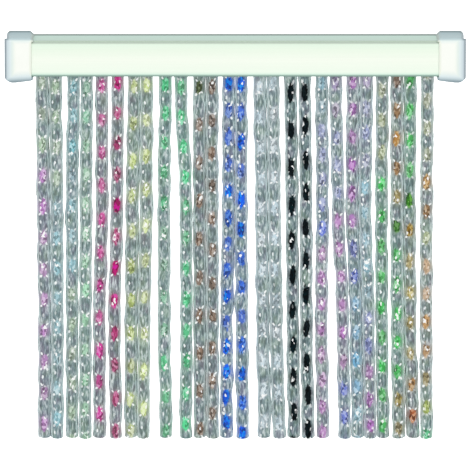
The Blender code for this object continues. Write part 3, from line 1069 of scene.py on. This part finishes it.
def make_strand(index, row, shapes, materials, chance):
    """One strand's tapes and core, as one mesh."""
    colours = colours_of(index)
    parts = [braid_tape(index, row, shapes["tape"], pair, hand, chance)
             for pair in range(len(PAIR_TURNS)) for hand in (1, -1)]
    core, core_faces, core_phases = core_points(index, row, shapes["core"])
    points = np.concatenate([part[0] for part in parts] + [core])
    faces, first = [], 0
    for part in parts:
        faces.append(part[1] + first)
        first += len(part[0])
    tape_faces = sum(len(group) for group in faces)
    faces.append(core_faces + first)
    faces = np.concatenate(faces)
    piece = add_mesh(f"strand_{index + 1:02d}", points, faces)
    mesh = piece.data
    for name, place in (("lay", 2), ("near", 3), ("link", 4)):
        values = np.concatenate([part[place] for part in parts] + [core * 0])
        set_attribute(mesh, name, "FLOAT_VECTOR", "POINT", values)
    phases = np.concatenate([part[5] for part in parts] + [core_phases])
    set_attribute(mesh, "tint", "FLOAT_COLOR", "POINT", tint_at(row, phases, colours))
    mesh.materials.append(materials["tape"])
    mesh.materials.append(materials["core"])
    inside = np.zeros(len(faces), np.int32)
    inside[tape_faces:] = 1
    mesh.polygons.foreach_set("material_index", inside)
    weld_and_cut(piece, STRIP_TOP - STRIP_THICKNESS + ROOT_DEPTH, STRAND_END)
    select_only(piece)
    bpy.ops.object.shade_smooth_by_angle(angle=STRAND_SMOOTHING)
    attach(piece, "root")
    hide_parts("strands")


def make_foil_knots(index, row, shapes, material, chance):
    """All the foil knots of one strand, as one mesh."""
    colours = colours_of(index)
    all_points, all_faces, tones = [], [], []
    first = 0
    for number in range(last_pitch(row) + 1):
        drop = drop_of(row, float(number))
        if drop > STRAND_LENGTH + FOIL_HALF_LENGTH * MM:
            continue
        points, faces = shapes[chance.integers(len(shapes))]
        turn = chance.uniform(0, 2 * math.pi)
        length = chance.uniform(*FOIL_LENGTHS)
        width = chance.uniform(*FOIL_WIDTHS) * swell_at(index, float(number))
        lean = np.radians(chance.uniform(*FOIL_LEANS))
        x = (points[:, 0] * math.cos(turn) - points[:, 1] * math.sin(turn)) * width
        y = (points[:, 0] * math.sin(turn) + points[:, 1] * math.cos(turn)) * width
        z = points[:, 2] * length
        x = x + z * math.tan(lean)
        across, away = strand_middle(index, row, drop - z * MM)
        all_points.append(np.column_stack((
            across + x * MM, away + y * MM, RAIL_BOTTOM - drop + z * MM)))
        all_faces += [tuple(corner + first for corner in face) for face in faces]
        first += len(points)
        colour = np.array(colours[min(number, len(colours) - 1)])
        for face in faces:
            # Each face takes a painted shade or highlight of the knot's colour
            tone = chance.choice(FOIL_FACE_SHADING)
            shade = colour * (1 + min(tone, 0)) + (1 - colour) * max(tone, 0)
            tones += [(*shade, 1)] * len(face)
    piece = add_mesh(f"foil_knots_{index + 1:02d}", np.concatenate(all_points), all_faces)
    set_attribute(piece.data, "foil", "FLOAT_COLOR", "CORNER", np.array(tones))
    piece.data.materials.append(material)
    weld_and_cut(piece, FOIL_TOP, FOIL_END)
    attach(piece, "root")
    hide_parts("strands")


def make_strands():
    chance = np.random.default_rng(CHANCE_START)
    shapes = {"tape": model_tape(), "core": model_core()}
    foils = [model_foil(seed) for seed in range(1, FOIL_SHAPES + 1)]
    materials = {"tape": braided_pvc("braided_pvc", TAPE_SHINE), "core": clear_core()}
    over_black = {"tape": braided_pvc("braided_pvc_over_black", TAPE_SHINE_OVER_BLACK),
                  "core": materials["core"]}
    foil = crumpled_foil()
    for index, row in enumerate(STRANDS):
        chosen = over_black if first_colour(index) == "black" else materials
        make_strand(index, row, shapes, chosen, chance)
        make_foil_knots(index, row, foils, foil, chance)


def finish_cad_node(name, material):
    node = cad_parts[name]
    for slot in node.material_slots:
        slot.material = material


def make_carrier_strip():
    """The flat strip inside the rail that the strands hang from."""
    clear_selection()
    low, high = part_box("strands")
    width = rail_high.y - rail_low.y - 2 * STRIP_SIDE_GAP
    bpy.ops.mesh.primitive_cube_add(size=1, location=(0, RAIL_MIDDLE, high.z - STRIP_THICKNESS / 2),
                                    scale=(high.x - low.x, width, STRIP_THICKNESS))
    strip = bpy.context.object
    strip.name = "carrier_strip"
    place_in_mesh(strip)
    bpy.ops.object.mode_set(mode="EDIT")
    bpy.ops.mesh.select_all(action="SELECT")
    bpy.ops.mesh.bevel(offset=STRIP_BEVEL, segments=2, affect="EDGES")
    bpy.ops.object.mode_set(mode="OBJECT")
    strip.data.materials.append(clear_core())
    bpy.ops.object.shade_smooth_by_angle(angle=STRIP_SMOOTHING)
    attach(strip, "root")
    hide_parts("strands")


# The studio

def make_floor():
    clear_selection()
    bpy.ops.mesh.primitive_plane_add(size=FLOOR_SIZE, location=(0, 0, FLOOR_HEIGHT))
    floor = bpy.context.object
    floor.name = "floor"
    material, _, shader = new_material("floor_white")
    shader.inputs["Base Color"].default_value = grey(FLOOR_GREY)
    shader.inputs["Emission Color"].default_value = grey(1)
    shader.inputs["Emission Strength"].default_value = 1.0
    floor.data.materials.append(material)
    floor.visible_diffuse = False
    floor.visible_glossy = False
    floor.visible_transmission = False


def make_world():
    """Soft light that is brightest in front, dimmer above, and dark at the sides and behind."""
    world = bpy.data.worlds.new("studio")
    bpy.context.scene.world = world
    world.use_nodes = True
    tree = world.node_tree
    tree.nodes.clear()
    way = add_node(tree, "ShaderNodeTexCoord").outputs["Generated"]
    axes = parts_of(tree, way)
    front = math_node(tree, "MULTIPLY", axes["Y"], -1.0, clamp=True)
    front = math_node(tree, "POWER", front, 2.0)
    above = math_node(tree, "MAXIMUM", axes["Z"], 0.0)
    front_light = mix_colour(tree, front, grey(LIGHT_AROUND), LIGHT_IN_FRONT)
    above_light = mix_colour(tree, above, grey(0.0), LIGHT_ABOVE)
    light = mix_colour(tree, 1.0, front_light, above_light, "ADD")
    sight = add_node(tree, "ShaderNodeLightPath").outputs["Is Camera Ray"]
    seen = mix_colour(tree, sight, light, grey(1.0))
    background = add_node(tree, "ShaderNodeBackground", {"Color": seen, "Strength": 1.0})
    output = add_node(tree, "ShaderNodeOutputWorld")
    tree.links.new(background.outputs["Background"], output.inputs["Surface"])


def make_lamp(name, place, power):
    """A soft square lamp that faces the middle of the curtain."""
    light = bpy.data.lights.new(name, "AREA")
    light.size = LAMP_SIZE
    light.energy = power
    lamp = bpy.data.objects.new(name, light)
    lamp.location = place
    aim = CAMERA_AIM - Vector(place)
    lamp.rotation_euler = aim.to_track_quat("-Z", "Y").to_euler()
    bpy.context.scene.collection.objects.link(lamp)


def make_camera():
    data = bpy.data.cameras.new("camera")
    data.lens = CAMERA_LENS
    data.sensor_width = CAMERA_SENSOR
    data.clip_start, data.clip_end = CAMERA_RANGE
    camera = bpy.data.objects.new("camera", data)
    distance = PHOTO_WIDTH * CAMERA_LENS / CAMERA_SENSOR
    backward = Vector((0, -math.cos(CAMERA_TILT), math.sin(CAMERA_TILT)))
    camera.location = CAMERA_AIM + distance * backward
    camera.rotation_euler = (math.radians(90) - CAMERA_TILT, 0, 0)
    bpy.context.scene.collection.objects.link(camera)
    bpy.context.scene.camera = camera


def make_studio():
    make_floor()
    make_world()
    for name, place, power in LAMPS:
        make_lamp(name, place, power)
    make_camera()
    view = bpy.context.scene.view_settings
    view.view_transform = "Standard"
    view.look = "None"


finish_cad_node("rail", rail_plastic())
cap_finish = cap_plastic()
finish_cad_node("end_cap_left", cap_finish)
finish_cad_node("end_cap_right", cap_finish)
make_carrier_strip()
make_strands()
make_studio()
